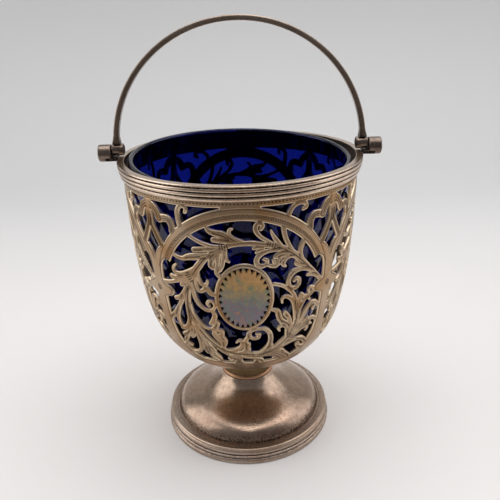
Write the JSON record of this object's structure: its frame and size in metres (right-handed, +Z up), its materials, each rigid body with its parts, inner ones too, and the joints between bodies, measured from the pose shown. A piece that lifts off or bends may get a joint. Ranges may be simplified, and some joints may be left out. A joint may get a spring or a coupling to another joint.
{
  "type": "pedestal basket",
  "caption": "Small pierced metal basket on a spun pedestal foot, with a swing handle and a loose glass liner.",
  "frame": {"origin": "centre of the foot's circle, on the surface it stands on", "axes": "+Z up along the axis of the foot and bowl, +X along the hinge axis to the right, -Y towards the viewer"},
  "size_m": [0.0996, 0.0858, 0.1561],
  "materials": {
    "silver_foot": "polished silver, worn, with fine scratches and dark spots",
    "silver_border": "polished silver, tarnished in the grooves",
    "copper_tint": "worn silver plate with the copper showing through",
    "silver_stem": "tarnished silver, brownish",
    "silver_bowl": "chased and pierced silver, warm brown tarnish",
    "silver_hinge": "polished silver, worn",
    "silver_handle": "polished silver, worn at the edges",
    "cobalt_glass": "clear deep blue glass, smooth"
  },
  "bodies": {
    "basket": {"foot_dome": "silver_foot", "foot_border": "silver_border", "neck_ring": "copper_tint", "stem": "silver_stem", "pierced_bowl": "silver_bowl", "rim_band": "silver_border", "lug_left": "silver_hinge", "lug_right": "silver_hinge", "hinge_pin_left": "silver_hinge", "hinge_pin_right": "silver_hinge"},
    "handle": {"handle_strap": "silver_handle", "handle_knuckle_left": "silver_handle", "handle_knuckle_right": "silver_handle"},
    "liner": {"glass_liner": "cobalt_glass"}
  },
  "joints": [
    {"name": "handle_swing", "type": "hinge", "parent": "basket", "child": "handle", "pos_m": [0, 0, 0.11345], "axis": [1, 0, 0], "range_deg": [-90, 90]},
    {"name": "liner_lift", "type": "slide", "parent": "basket", "child": "liner", "axis": [0, 0, 1], "range_m": [0, 0.008]}
  ]
}
